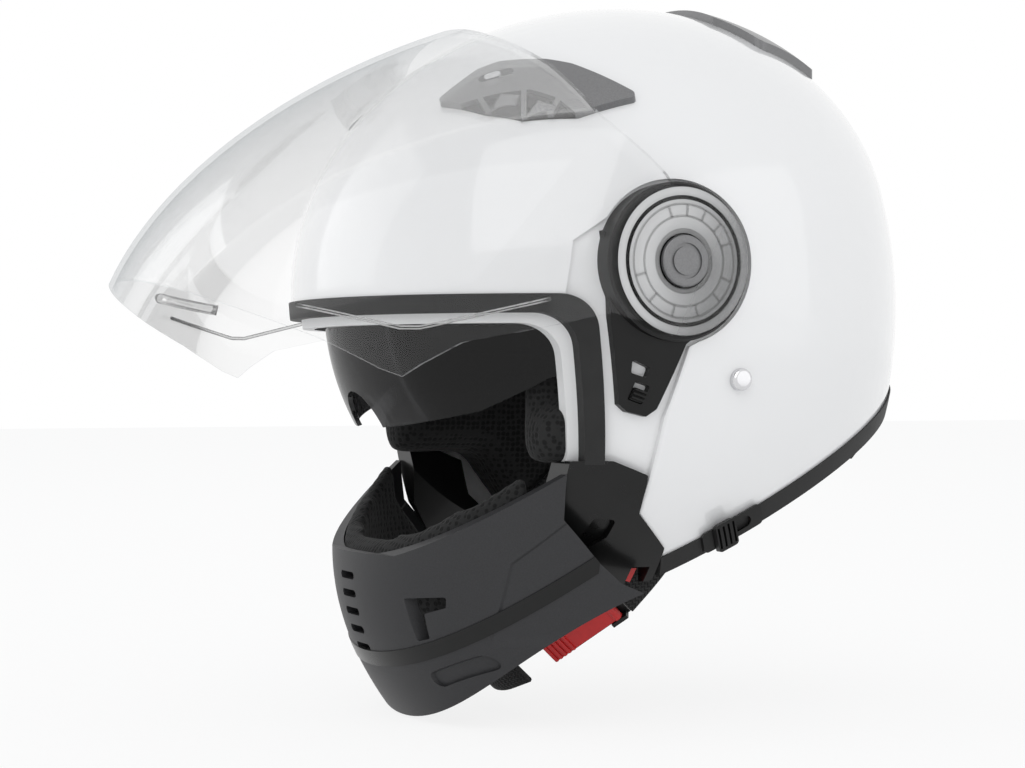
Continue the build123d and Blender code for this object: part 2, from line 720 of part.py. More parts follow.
with BuildPart() as slide_knob:
    with BuildSketch(slide_place):
        RectangleRounded(*slide_head, slide_rounding)
        with GridLocations(slide_head[0] / slide_rib_count, 0, slide_rib_count, 1):
            Rectangle(slide_rib_gap, slide_head[1] - 2 * slide_rounding, mode=Mode.SUBTRACT)
    extrude(amount=far)
    add(knob_egg, mode=Mode.INTERSECT)
    add(vent_egg, mode=Mode.SUBTRACT)
with BuildPart() as visor_slide:
    with BuildSketch(slide_place):
        RectangleRounded(*slide_head, slide_rounding)
    extrude(amount=far)
    add(vent_egg, mode=Mode.INTERSECT)
    add(lever_egg, mode=Mode.SUBTRACT)
    add(slide_knob.part)
    with BuildPart(mode=Mode.PRIVATE) as slide_stem:
        with BuildSketch(slide_place):
            SlotOverall(slide_foot[0], slide_foot[1])
        extrude(amount=far)
        add(vent_egg, mode=Mode.INTERSECT)
        add(stem_egg, mode=Mode.SUBTRACT)
    add(slide_stem.part)
write(visor_slide.part.moved(Location((slide_play, 0, 0))), "visor_slide")

# Ratchet buckle on the wearer's left, in the strap's own sloping plane: profiles along the
# strap and away from the chin, widened both ways
strap_plane = Plane(origin=(0, 38, -98), x_dir=(1, 0, 0), z_dir=(0, 0.72, -0.69))
buckle_centre = (41.5, 66.0)
buckle_lean = 128.3
buckle_place = strap_plane * Location((*buckle_centre, 0), (0, 0, buckle_lean))
buckle_half = 13.0
buckle_length = 40.0
frame_height = 7.0
frame_level = -2.1
ear_size = (8.0, 8.0)
ear_place = (-15.0, -6.0)
channel_height = 3.5
channel_place = (-4.0, -2.0)
lever_gap_size = (10.0, 6.8)
lever_gap_place = (-15.0, -9.0)
ear_wall = 1.7
channel_half = 9.3
tongue_half = 9.0
tongue_travel = 6.0
tooth_count = 5
tooth_step = 2.4
lever_pin = (-15.0, -8.0)
lever_pin_radius = 1.2
grip_ribs = 5
with BuildPart() as buckle_body:
    with BuildSketch(buckle_place):
        with Locations((0, frame_level)):
            Rectangle(buckle_length, frame_height)
        with Locations(ear_place):
            Rectangle(*ear_size)
    extrude(amount=buckle_half, both=True)
    with BuildSketch(buckle_place):
        with Locations(channel_place):
            Rectangle(buckle_length, channel_height)
    extrude(amount=channel_half, both=True, mode=Mode.SUBTRACT)
    with BuildSketch(buckle_place):
        with Locations(lever_gap_place):
            Rectangle(*lever_gap_size)
    extrude(amount=buckle_half - ear_wall, both=True, mode=Mode.SUBTRACT)
    with BuildSketch(buckle_place):
        with Locations(lever_pin):
            Circle(lever_pin_radius)
    extrude(amount=far, both=True, mode=Mode.SUBTRACT)
write(buckle_body.part, "buckle_body")

with BuildPart() as buckle_pin:
    with BuildSketch(buckle_place):
        with Locations(lever_pin):
            Circle(lever_pin_radius)
    extrude(amount=buckle_half, both=True)
write(buckle_pin.part, "buckle_pin")

# Red lever that frees the ratchet, ribbed for the thumb
lever_boss = 2.2
lever_plate = (35.0, 3.0)
lever_plate_place = (2.5, -7.9)
grip_place = (14.0, -9.6)
grip_step = 2.4
grip_rib = 1.2
lever_side_gap = 2.0
with BuildPart() as buckle_lever:
    with BuildSketch(buckle_place):
        with Locations(lever_pin):
            Circle(lever_boss)
        with Locations(lever_plate_place):
            Rectangle(*lever_plate)
        with Locations(grip_place):
            with GridLocations(grip_step, 0, grip_ribs, 1):
                Rectangle(grip_rib, grip_rib)
    extrude(amount=buckle_half - lever_side_gap, both=True)
    with BuildSketch(buckle_place):
        with Locations(lever_pin):
            Circle(lever_pin_radius + hub_fit)
    extrude(amount=far, both=True, mode=Mode.SUBTRACT)
write(buckle_lever.part, "buckle_lever")

# Toothed tongue on the end of the left strap
tongue_size = (43.0, 2.6)
tongue_place = (-12.5, -1.9)
tooth_place = (-28.0, -3.1)
tooth_size = (1.3, 1.0)
with BuildPart() as ratchet_tongue:
    with BuildSketch(buckle_place):
        with Locations(tongue_place):
            Rectangle(*tongue_size)
        with Locations(tooth_place):
            with GridLocations(tooth_step, 0, tooth_count, 1):
                Rectangle(*tooth_size)
    extrude(amount=tongue_half, both=True)
write(ratchet_tongue.part, "ratchet_tongue")

# Chin strap: two flat lengths from under the cheek pads to the buckle
strap_thickness = 2.4
strap_width = 22.0
strap_bend = 10.0
strap_left_path = [(60, -14), (66, 22), (64.4, 39)]
strap_right_path = [(29.5, 83.4), (12, 93), (-32, 84), (-63, 36), (-60, -14)]
strap_seats = [cheek_pad_left.part, cheek_pad_left.part.mirror(Plane.YZ), neck_roll.part,
               rim_trim.part, buckle_body.part, ratchet_tongue.part]


def strap(path):
    """A flat strap on edge in the sloping plane, along a bent path."""
    with BuildPart(mode=Mode.PRIVATE) as band:
        with BuildSketch(strap_plane):
            with BuildLine():
                FilletPolyline(*path, radius=strap_bend)
            trace(line_width=strap_thickness)
        extrude(amount=strap_width / 2, both=True)
        for seat in strap_seats:
            add(seat, mode=Mode.SUBTRACT)
    return band.part


write(strap(strap_left_path), "chin_strap_left")
write(strap(strap_right_path), "chin_strap_right")
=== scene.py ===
import bpy
import bmesh
import math
from mathutils import Matrix, Vector, noise


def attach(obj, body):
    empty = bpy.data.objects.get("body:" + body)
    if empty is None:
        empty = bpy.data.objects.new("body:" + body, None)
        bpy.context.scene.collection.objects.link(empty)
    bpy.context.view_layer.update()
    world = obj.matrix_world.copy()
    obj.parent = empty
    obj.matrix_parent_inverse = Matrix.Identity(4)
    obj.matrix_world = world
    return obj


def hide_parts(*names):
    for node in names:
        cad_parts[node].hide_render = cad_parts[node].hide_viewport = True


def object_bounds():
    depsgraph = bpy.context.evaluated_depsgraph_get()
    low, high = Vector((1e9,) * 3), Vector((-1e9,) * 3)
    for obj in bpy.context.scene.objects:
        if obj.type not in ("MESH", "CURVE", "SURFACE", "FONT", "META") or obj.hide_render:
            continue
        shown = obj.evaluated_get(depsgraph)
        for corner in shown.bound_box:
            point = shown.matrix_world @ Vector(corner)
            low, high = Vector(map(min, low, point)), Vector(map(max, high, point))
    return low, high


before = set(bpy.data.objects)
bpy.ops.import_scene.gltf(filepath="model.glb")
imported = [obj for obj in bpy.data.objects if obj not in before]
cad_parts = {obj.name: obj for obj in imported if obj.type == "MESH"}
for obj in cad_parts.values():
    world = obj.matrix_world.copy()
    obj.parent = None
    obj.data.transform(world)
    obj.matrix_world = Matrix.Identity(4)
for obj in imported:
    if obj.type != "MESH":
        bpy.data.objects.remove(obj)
cad_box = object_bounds()

# The hard outer shell: fibre-filled plastic, moulded in one piece and sprayed white under a
# clear lacquer. A raised panel starts behind the side plate and runs down to the low corner.
MM = 0.001


class Value:
    """A socket of a material, so that maths on it reads as maths."""

    def __init__(self, finish, socket):
        self.finish = finish
        self.socket = socket

    def math(self, operation, *others):
        inputs = [self.socket] + [getattr(other, "socket", other) for other in others]
        return self.finish.node("ShaderNodeMath", {"operation": operation}, dict(enumerate(inputs)))

    def __add__(self, other):
        return self.math("ADD", other)

    def __sub__(self, other):
        return self.math("SUBTRACT", other)

    def __mul__(self, other):
        return self.math("MULTIPLY", other)

    def __rsub__(self, other):
        return self.finish.node("ShaderNodeMath", {"operation": "SUBTRACT"},
                                {0: other, 1: self.socket})

    __radd__ = __add__

    def rise(self, low, high):
        """0 below low, 1 above high, and a soft ramp between them."""
        return self.finish.node("ShaderNodeMapRange", {"interpolation_type": "SMOOTHSTEP"},
                                {"Value": self.socket, "From Min": low, "From Max": high})

    def between(self, low, high, edge):
        """1 from low to high, with soft edges, and 0 outside them."""
        return self.rise(low - edge, low) * (1 - self.rise(high, high + edge))


class Finish:
    """One material: its nodes, and the sockets of its main shader."""

    def __init__(self, name, **sockets):
        self.material = bpy.data.materials.new(name)
        self.material.use_nodes = True
        self.tree = self.material.node_tree
        self.main = self.tree.nodes["Principled BSDF"]
        self.set(**sockets)

    def set(self, **sockets):
        for name, value in sockets.items():
            self.plug(self.main.inputs[name.replace("_", " ")], value)

    def plug(self, socket, value):
        if isinstance(value, Value):
            value = value.socket
        if isinstance(value, bpy.types.NodeSocket):
            self.tree.links.new(value, socket)
        else:
            socket.default_value = value

    def node(self, kind, settings=None, inputs=None, output=0):
        made = self.tree.nodes.new(kind)
        for name, value in (settings or {}).items():
            setattr(made, name, value)
        for name, value in (inputs or {}).items():
            self.plug(made.inputs[name], value)
        return Value(self, made.outputs[output])

    def place(self):
        return self.node("ShaderNodeTexCoord", output="Object")

    def axes(self):
        split = self.node("ShaderNodeSeparateXYZ", inputs={0: self.place()})
        return [Value(self, out) for out in split.socket.node.outputs]

    def grain(self, size, detail=2.0):
        """Soft random blotches of a size in metres, from 0 to 1."""
        return self.node("ShaderNodeTexNoise", inputs={
            "Vector": self.place(), "Scale": 1 / size, "Detail": detail})

    def cells(self, size, disorder=1.0):
        """Distance from the nearest of many cell centres, a size in metres apart."""
        return self.node("ShaderNodeTexVoronoi", inputs={
            "Vector": self.place(), "Scale": 1 / size, "Randomness": disorder})

    def blend(self, mask, low, high):
        """A colour between two others."""
        return self.node("ShaderNodeMix", {"data_type": "RGBA"}, {0: mask, 6: low, 7: high}, 2)

    def bump(self, height, depth):
        """Relief: a height of 1 stands this many metres proud."""
        self.set(Normal=self.node("ShaderNodeBump", inputs={
            "Height": height, "Distance": depth, "Strength": 1.0}))

    def surface(self, factor, low, high):
        """What the material shows: one shader where the factor is 0, and another where it is 1."""
        mixed = self.node("ShaderNodeMixShader", inputs={0: factor, 1: low, 2: high})
        self.plug(self.tree.nodes["Material Output"].inputs["Surface"], mixed)


def grey(level, cool=0.0):
    """A grey, with its blue raised by a share."""
    return (level, level, level * (1 + cool), 1)


shell_white = Finish("shell_white", Roughness=0.16, Coat_Weight=1.0, Coat_Roughness=0.03)
shell_blotch = shell_white.grain(0.11)
shell_white.set(Base_Color=shell_white.blend(shell_blotch, grey(0.83, 0.004), grey(0.87, 0.004)))

PANEL_RUNS = [((-5, -102), -0.83), ((-5, -102), 0.077), ((-2, -63), 0.276)]
PANEL_LOW, PANEL_HIGH, PANEL_FADE = -140, -40, 22
PANEL_STEP, PANEL_PROUD = 1.6, 1.1
PANEL_FROM, PANEL_FULL = 50, 60


def bent_edge(up, runs):
    """The rearmost of straight lines, each through a point (y, z) at a slope of y over z."""
    edge, *others = [y * MM + (up - z * MM) * slope for (y, z), slope in runs]
    for line in others:
        edge = edge.math("MAXIMUM", line)
    return edge


across, along, up = shell_white.axes()
panel = (along - bent_edge(up, PANEL_RUNS)).rise(-PANEL_STEP * MM, PANEL_STEP * MM)
panel *= up.between(PANEL_LOW * MM, PANEL_HIGH * MM, PANEL_FADE * MM)
panel *= across.math("ABSOLUTE").rise(PANEL_FROM * MM, PANEL_FULL * MM)
shell_white.bump(panel, PANEL_PROUD * MM)

# The shell's form is an egg with four quarters: its half width, its four reaches from the
# centre, how full its outline is, and the radius its outline is drawn to, in millimetres.
SHELL_HALF, SHELL_FRONT, SHELL_BACK, SHELL_TOP, SHELL_LOW = 119.0, 135.0, 140.5, 116.5, 172.0
SHELL_CENTRE, SHELL_PITCH, SHELL_FULLNESS = (18.6, 1.4), math.radians(16.5), 0.6
EGG_RING = 100.0
NEAR_EGG = 0.0035  # a point counts as on the egg within this share of its distance
SEEK_STEPS = 30
WELD = 0.002
FACING = 0.93  # the least cosine between a face and the form that it follows


def pitched(point, centre, angle):
    """A point in millimetres, in the frame of a body that is turned nose down about X."""
    y, z = point.y / MM - centre[0], point.z / MM - centre[1]
    cos, sin = math.cos(angle), math.sin(angle)
    return point.x / MM, y * cos + z * sin, z * cos - y * sin


def unpitched(x, y, z, angle):
    """A direction in that body's frame, back in the part's own."""
    cos, sin = math.cos(angle), math.sin(angle)
    return Vector((x, y * cos - z * sin, y * sin + z * cos)).normalized()


def egg_reach(y, z, less):
    """The egg's reach along y and z in the quarter that holds a point, against its outline's."""
    return (((SHELL_FRONT if y < 0 else SHELL_BACK) - less) / EGG_RING,
            ((SHELL_TOP if z > 0 else SHELL_LOW) - less) / EGG_RING)


def egg_normal(point, less):
    """The shell's own normal at a point on it, or None away from it."""
    x, y, z = pitched(point, SHELL_CENTRE, SHELL_PITCH)
    side = SHELL_HALF - less
    deep, tall = egg_reach(y, z, less)
    radius = math.hypot(y / deep, z / tall)
    low, high = 0.0, 1.0
    for _ in range(SEEK_STEPS):
        t = (low + high) / 2
        s = 1 - t
        out = side * (s ** 3 + 3 * s * s * t + 3 * SHELL_FULLNESS * s * t * t)
        ring = EGG_RING * (3 * SHELL_FULLNESS * s * s * t + 3 * s * t * t + t ** 3)
        if ring * abs(x) < radius * out:
            low = t
        else:
            high = t
    if abs(math.hypot(x, radius) / math.hypot(out, ring) - 1) > NEAR_EGG:
        return None
    d_out = 3 * side * (s * t * (2 * SHELL_FULLNESS - 2) - t * t * SHELL_FULLNESS)
    d_ring = 3 * EGG_RING * (SHELL_FULLNESS * s * s + s * t * (2 - 2 * SHELL_FULLNESS))
    radius = max(radius, 1e-6)
    nx, nr = d_ring * math.copysign(1, x), -d_out
    return unpitched(nx, nr * y / (deep * deep * radius), nr * z / (tall * tall * radius),
                     SHELL_PITCH)


def skin(node, body, finish, wraps=(), sharp=32):
    """A smooth-shaded copy of a node, with true normals where it follows a given surface."""
    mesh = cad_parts[node].data.copy()
    mesh.materials.clear()
    mesh.materials.append(finish.material)
    welded = bmesh.new()
    welded.from_mesh(mesh)
    bmesh.ops.remove_doubles(welded, verts=welded.verts, dist=WELD * MM)
    for face in welded.faces:
        face.smooth = True
        face.material_index = 0
    welded.to_mesh(mesh)
    welded.free()
    if "custom_normal" in mesh.attributes:
        mesh.attributes.remove(mesh.attributes["custom_normal"])
    mesh.set_sharp_from_angle(angle=math.radians(sharp))
    if wraps:
        normals = [Vector((0, 0, 0))] * len(mesh.loops)
        for face in mesh.polygons:
            for wrap in wraps:
                found = [wrap(mesh.vertices[v].co) for v in face.vertices]
                if all(n is not None and abs(n.dot(face.normal)) > FACING for n in found):
                    for loop, normal in zip(face.loop_indices, found):
                        normals[loop] = normal if normal.dot(face.normal) > 0 else -normal
                    break
        mesh.normals_split_custom_set(normals)
    return piece(node + "_skin", mesh, body, replaces=(node,))


def piece(name, mesh, body, finish=None, replaces=()):
    """An object of the scene that rides on a body, in place of nodes or beside them."""
    made = bpy.data.objects.new(name, mesh)
    bpy.context.scene.collection.objects.link(made)
    if finish:
        made.data.materials.append(finish.material)
    if replaces:
        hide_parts(*replaces)
    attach(made, body)
    return made


def on_egg(less):
    """The wrap for a face that lies this far inside the shell's outer form."""
    return lambda point: egg_normal(point, less)


skin("outer_shell", "helmet", shell_white, [on_egg(0), on_egg(2.5), on_egg(4)])

# The face opening's edge: a white moulded lip inside, and a black rubber gasket glued round it,
# on which the face shield closes. The rubber is a plain extrusion with a dull, dusty skin.
lip_white = Finish("lip_white", Roughness=0.42)
lip_white.set(Base_Color=lip_white.blend(lip_white.grain(0.05), grey(0.74), grey(0.8)))
lip_white.bump(lip_white.grain(0.0012), 0.00004)
skin("eyeport_lip", "helmet", lip_white, [on_egg(less) for less in (0, 4, 9)])

gasket_rubber = Finish("gasket_rubber", Specular_IOR_Level=0.3)
rubber_dust = gasket_rubber.grain(0.012, 5.0)
gasket_rubber.set(Base_Color=gasket_rubber.blend(rubber_dust, grey(0.012), grey(0.026)),
                  Roughness=rubber_dust * 0.2 + 0.5)
gasket_rubber.bump(gasket_rubber.grain(0.0007), 0.00006)
skin("eyeport_gasket", "helmet", gasket_rubber, [on_egg(-0.9)])

# The lower edge of the shell: a black rubber strip that is pressed over the cut edge, with
# moulded clips on each side where the padding's tails are pushed in behind it.
skin("rim_trim", "helmet", gasket_rubber, [on_egg(0)])


def block(long, wide, tall, edge, steps=3):
    """A moulded block about the origin with rounded edges, as a mesh being built."""
    made = bmesh.new()
    bmesh.ops.create_cube(made, size=1.0)
    bmesh.ops.scale(made, vec=(long, wide, tall), verts=made.verts)
    bmesh.ops.bevel(made, geom=made.edges[:], offset=edge, segments=steps, profile=0.5,
                    affect="EDGES", clamp_overlap=True)
    for face in made.faces:
        face.smooth = True
    return made


def finished(made, name):
    """The mesh that was being built."""
    mesh = bpy.data.meshes.new(name)
    made.to_mesh(mesh)
    made.free()
    return mesh


TRIM_RUN = [(17, -121.5), (33, -113), (52, -103), (66, -95), (106, -75.5)]
TRIM_LENGTHS = [7.5, 4.5, 7.0, 8.0, 11.0]
TRIM_HEADING = (0, 0.88, 0.47)
CLIP_WIDE, CLIP_TALL, CLIP_EDGE, CLIP_SUNK = 7.4, 2.2, 0.5, 0.7
ROUND_POWER = 2.17  # a rounded form of this power lies close to the egg
SEEK_FROM = 20.0


def shell_point(y, z, side):
    """Where a line across the helmet at this height and depth leaves the shell, and its normal."""
    low, high = SEEK_FROM, SHELL_HALF
    for _ in range(SEEK_STEPS):
        middle = (low + high) / 2
        _, py, pz = pitched(Vector((middle, y, z)) * MM, SHELL_CENTRE, SHELL_PITCH)
        deep, tall = egg_reach(py, pz, 0)
        radius = math.hypot(py / deep, pz / tall) / EGG_RING
        inside = (middle / SHELL_HALF) ** ROUND_POWER + radius ** ROUND_POWER < 1
        low, high = (middle, high) if inside else (low, middle)
    point = Vector((side * low, y, z)) * MM
    return point, egg_normal(point, 0) or Vector((side, 0, 0))


for side, hand in ((1, "left"), (-1, "right")):
    for count, ((y, z), long) in enumerate(zip(TRIM_RUN, TRIM_LENGTHS)):
        point, normal = shell_point(y, z, side)
        run = Vector(TRIM_HEADING)
        run = (run - normal * run.dot(normal)).normalized()
        clip = block(long * MM, CLIP_WIDE * MM, CLIP_TALL * MM, CLIP_EDGE * MM)
        turn = Matrix((run, normal.cross(run), normal)).transposed().to_4x4()
        turn.translation = point - normal * CLIP_SUNK * MM
        bmesh.ops.transform(clip, matrix=turn, verts=clip.verts)
        piece(f"trim_clip_{hand}_{count + 1}", finished(clip, "trim_clip"), "helmet",
              gasket_rubber)

# The impact liner: moulded foam beads under the shell, dark, seen only round the pads.
# The beads show as small round cells.
foam = Finish("foam", Roughness=0.85)
bead = foam.cells(0.004)
foam.set(Base_Color=foam.blend(bead, grey(0.05), grey(0.028)))
foam.bump(1 - bead, 0.0005)
skin("eps_liner", "helmet", foam, [on_egg(4.0)])

# The comfort padding: foam cushions sewn into black knitted mesh, snapped into the liner.
# Each is drawn in along its edges and swollen between them, with slight waves.
pad_fabric = Finish("pad_fabric", Roughness=0.95, Specular_IOR_Level=0.2, Sheen_Weight=0.06)
knit = pad_fabric.cells(0.0026, 0.3)
hole = knit.rise(0.32, 0.52)
worn = pad_fabric.grain(0.02, 3.0)
pad_fabric.set(Base_Color=pad_fabric.blend(hole, pad_fabric.blend(worn, grey(0.006), grey(0.012)),
                                           pad_fabric.blend(worn, grey(0.018), grey(0.026))))
pad_fabric.bump(hole, 0.00022)


PAD_WAVES, PAD_WAVE_HEIGHT = 42, 0.5  # how many in a metre, and how high in millimetres
PAD_VOXEL = 4.0


def cushion(node, body, rounds, swell, voxel=PAD_VOXEL):
    """A padded piece inside the space of a node: remeshed, drawn in at its edges and crowned."""
    rough = bpy.data.objects.new(node + "_rough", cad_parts[node].data.copy())
    bpy.context.scene.collection.objects.link(rough)
    net = rough.modifiers.new("net", "REMESH")
    net.mode = "VOXEL"
    net.voxel_size = voxel * MM
    remeshed = rough.evaluated_get(bpy.context.evaluated_depsgraph_get())
    cage = bpy.data.meshes.new_from_object(remeshed)
    bpy.data.objects.remove(rough)
    soft = bmesh.new()
    soft.from_mesh(cage)
    for _ in range(rounds):
        bmesh.ops.smooth_vert(soft, verts=soft.verts, factor=0.5,
                              use_axis_x=True, use_axis_y=True, use_axis_z=True)
    soft.normal_update()
    for vertex in soft.verts:
        wave = noise.noise(vertex.co * PAD_WAVES)
        vertex.co += vertex.normal * (swell + PAD_WAVE_HEIGHT * wave) * MM
    for face in soft.faces:
        face.smooth = True
    mesh = finished(soft, node + "_cushion")
    mesh.materials.clear()
    mesh.materials.append(pad_fabric.material)
    made = piece(node + "_cushion", mesh, body, replaces=(node,))
    finer = made.modifiers.new("finer", "SUBSURF")
    finer.levels = finer.render_levels = 1


for pad in ("crown_pad", "cheek_pad_left", "cheek_pad_right", "neck_roll"):
    cushion(pad, "helmet", rounds=5, swell=0.6)

# The side plates under the shield's ears: black nylon discs with a tongue that holds the
# sprung release lever, and a hub screw with a ribbed grey cap in the middle.
black_plastic = Finish("black_plastic", Specular_IOR_Level=0.24)
speck = black_plastic.grain(0.0006, 4.0)
black_plastic.set(
    Base_Color=black_plastic.blend(black_plastic.grain(0.02), grey(0.007), grey(0.013)),
    Roughness=speck * 0.16 + 0.28)
black_plastic.bump(speck, 0.000015)
titanium_plastic = Finish("titanium_plastic", Metallic=0.55, Coat_Weight=0.2, Coat_Roughness=0.2)
flake = titanium_plastic.grain(0.0005, 3.0)
titanium_plastic.set(Base_Color=titanium_plastic.blend(flake, grey(0.13, 0.02), grey(0.24, 0.02)),
                     Roughness=flake * 0.12 + 0.3)
titanium_plastic.bump(flake, 0.00002)
for hand in ("left", "right"):
    skin("pivot_base_" + hand, "helmet", black_plastic, sharp=25)
    skin("shield_hub_" + hand, "helmet", titanium_plastic)
    skin("shield_release_" + hand, "shield_lever_" + hand, black_plastic)

# The face shield: clear polycarbonate, moulded as part of an ellipsoid with a flat ear on each
# side, its lower edge drawn down in two lobes. It is seen by its edges and by its reflections.
SHIELD_HALF, SHIELD_LONG, SHIELD_SHORT, SHIELD_PITCH = 128.0, 213.0, 117.0, math.radians(17)
SHIELD_WALL, EAR_OUTER = 2.2, 122.1
NEAR_SHIELD = 0.003


def shield_normal(point, less=0.0):
    """The shield's own normal at a point on it, or None away from it."""
    x, y, z = pitched(point, (0, 0), SHIELD_PITCH)
    a, b, c = SHIELD_HALF - less, SHIELD_LONG - less, SHIELD_SHORT - less
    if abs(math.sqrt((x / a) ** 2 + (y / b) ** 2 + (z / c) ** 2) - 1) > NEAR_SHIELD:
        return None
    return unpitched(x / a ** 2, y / b ** 2, z / c ** 2, SHIELD_PITCH)


def sheer(name, colour, painted_edge_shade, gloss, rough=0.02):
    """Clear or smoked sheet: light goes straight through it, and it shines by its angle. Towards
    its grazing edges its see-through colour turns darker, which is painted shade; for a smoked
    sheet it also partly stands for the longer path through the tint.
    """
    made = Finish(name, Base_Color=grey(0.92), Roughness=rough, Metallic=1.0)
    # The see-through colour darkens towards the grazing edges by this mask: painted shade.
    facing = made.node("ShaderNodeLayerWeight", inputs={"Blend": 0.35}, output="Facing")
    flat_on, shaded_edge_through = [made.node("ShaderNodeBsdfTransparent", inputs={"Color": tint})
                        for tint in (colour, painted_edge_shade)]
    through = made.node("ShaderNodeMixShader", inputs={
        0: facing.math("POWER", 2.2), 1: flat_on, 2: shaded_edge_through})
    shine = made.node("ShaderNodeLayerWeight", inputs={"Blend": 0.3}, output="Fresnel")
    made.surface(shine * gloss, through, made.main.outputs[0])
    return made


# The shield's second, darker tint at its grazing edges is painted shade.
clear_shield = sheer("clear_shield", grey(0.993), (0.74, 0.755, 0.765, 1), 0.4)
skin("face_shield", "shield", clear_shield,
     [shield_normal, lambda point: shield_normal(point, SHIELD_WALL)], sharp=30)

# The second, much darker tint at the grazing edges of the clear mouldings is painted shade.
moulded_clear = sheer("moulded_clear", grey(0.86), grey(0.45), 0.9, 0.12)


def bridge(made, one, two):
    """The faces between two closed rows of corners."""
    return [made.faces.new(corners)
            for corners in zip(one, one[1:] + one[:1], two[1:] + two[:1], two)]


LATHE_STEPS, LATHE_EDGE = 96, 0.25


def lathe_ring(inner, outer, low, high, side):
    """A flat ring on an ear, its outer edges broken."""
    made = bmesh.new()
    edge = min(LATHE_EDGE, (outer - inner) / 4, (high - low) / 3)
    section = [(inner, low), (inner, high - edge), (inner + edge, high), (outer - edge, high),
               (outer, high - edge), (outer, low)]
    rings = []
    for step in range(LATHE_STEPS):
        angle = 2 * math.pi * step / LATHE_STEPS
        spoke = Vector((0, math.cos(angle), math.sin(angle)))
        rings.append([made.verts.new((Vector((side * x, 0, 0)) + spoke * r) * MM)
                      for r, x in section])
    for one, two in zip(rings, rings[1:] + rings[:1]):
        bridge(made, one, two)
    bmesh.ops.recalc_face_normals(made, faces=made.faces)
    for face in made.faces:
        face.smooth = True
    return made


def joined(name, parts):
    """Several meshes being built, as one mesh."""
    whole = bmesh.new()
    for part in parts:
        scrap = finished(part, name)
        whole.from_mesh(scrap)
        bpy.data.meshes.remove(scrap)
    return finished(whole, name)


RINGS = [(11.4, 13.0), (17.6, 18.4), (22.4, 23.2)]
RIB_TALL, RIB_LONG, RIB_WIDE, RIB_EDGE = 0.5, 4.6, 0.9, 0.15
RIB_RADIUS = (RINGS[1][1] + RINGS[2][0]) / 2
RIB_ANGLES = [20, 42, 64, 86, 108, 196, 226, 256, 286, 316, 340]
for side, hand in ((1, "left"), (-1, "right")):
    moulding = [lathe_ring(inner, outer, EAR_OUTER, EAR_OUTER + RIB_TALL, side)
                for inner, outer in RINGS]
    for angle in RIB_ANGLES:
        rib = block(RIB_TALL * MM, RIB_LONG * MM, RIB_WIDE * MM, RIB_EDGE * MM, steps=2)
        turn = Matrix.Rotation(math.radians(angle), 4, "X") @ Matrix.Translation(
            Vector((side * (EAR_OUTER + RIB_TALL / 2), RIB_RADIUS, 0)) * MM)
        bmesh.ops.transform(rib, matrix=turn, verts=rib.verts)
        moulding.append(rib)
    piece("ear_moulding_" + hand, joined("ear_moulding", moulding), "shield", moulded_clear)

FROST_RINGS = [(11.2, 24.6), (26.2, 29.6)]
FROST_LOW, FROST_HIGH = 0.02, 0.3
frosted = Finish("frosted_clear", Base_Color=grey(0.8), Roughness=0.3, Coat_Weight=0.6)
_, along, up = frosted.axes()
# The frost's whiteness: an even share of real frost, plus a rise towards the front and top, on the
# key lamp's side, that is painted light.
frost_and_painted_light = (along * -1.0 + up * 0.5).rise(-24 * MM, 20 * MM) * 0.42 + 0.2
unclouded = frosted.node("ShaderNodeBsdfTransparent", inputs={"Color": grey(0.95)})
frosted.surface(frost_and_painted_light, unclouded, frosted.main.outputs[0])
for side, hand in ((1, "left"), (-1, "right")):
    rings = [lathe_ring(inner, outer, EAR_OUTER + FROST_LOW, EAR_OUTER + FROST_HIGH, side)
             for inner, outer in FROST_RINGS]
    piece("ear_frost_" + hand, joined("ear_frost", rings), "shield", frosted)


def shield_span(y, z):
    """How much of its half width the shield has at a height and depth, squared."""
    _, py, pz = pitched(Vector((0, y, z)) * MM, (0, 0), SHIELD_PITCH)
    return 1 - (py / SHIELD_LONG) ** 2 - (pz / SHIELD_SHORT) ** 2


def shield_point(y, z, side):
    """The shield's surface at a height and depth, in millimetres."""
    return Vector((side * SHIELD_HALF * math.sqrt(max(0.0, shield_span(y, z))), y, z))


def ridge(points, width, height):
    """A low rounded ridge along points on the shield, in millimetres."""
    made = bmesh.new()
    rows = []
    for spot, point in enumerate(points):
        ahead = points[min(spot + 1, len(points) - 1)] - points[max(spot - 1, 0)]
        normal = shield_normal(point * MM) or Vector((math.copysign(1, point.x), 0, 0))
        across = ahead.cross(normal).normalized() * width / 2
        rows.append([made.verts.new(p * MM) for p in (
            point - across, point - across * 0.5 + normal * height * 0.8, point + normal * height,
            point + across * 0.5 + normal * height * 0.8, point + across)])
    for one, two in zip(rows, rows[1:]):
        bridge(made, one, two)
    made.faces.new(rows[0])
    made.faces.new(reversed(rows[-1]))
    bmesh.ops.recalc_face_normals(made, faces=made.faces)
    for face in made.faces:
        face.smooth = True
    return made


def run_through(corners, steps):
    """Points along straight runs between corners in (y, z)."""
    spots = []
    for (y0, z0), (y1, z1) in zip(corners, corners[1:]):
        spots += [(y0 + (y1 - y0) * step / steps, z0 + (z1 - z0) * step / steps)
                  for step in range(steps)]
    return spots + [corners[-1]]


CREASE = [(-150, -18.6), (-115, -27.3), (-108, -27.3), (-59, -16)]
CREASE_STEPS, CREASE_WIDE, CREASE_PROUD = 10, 1.6, 0.35
for side, hand in ((1, "left"), (-1, "right")):
    spots = [shield_point(y, z, side) for y, z in run_through(CREASE, CREASE_STEPS)]
    crease = ridge(spots, CREASE_WIDE, CREASE_PROUD)
    piece("shield_crease_" + hand, finished(crease, "shield_crease"), "shield", moulded_clear)

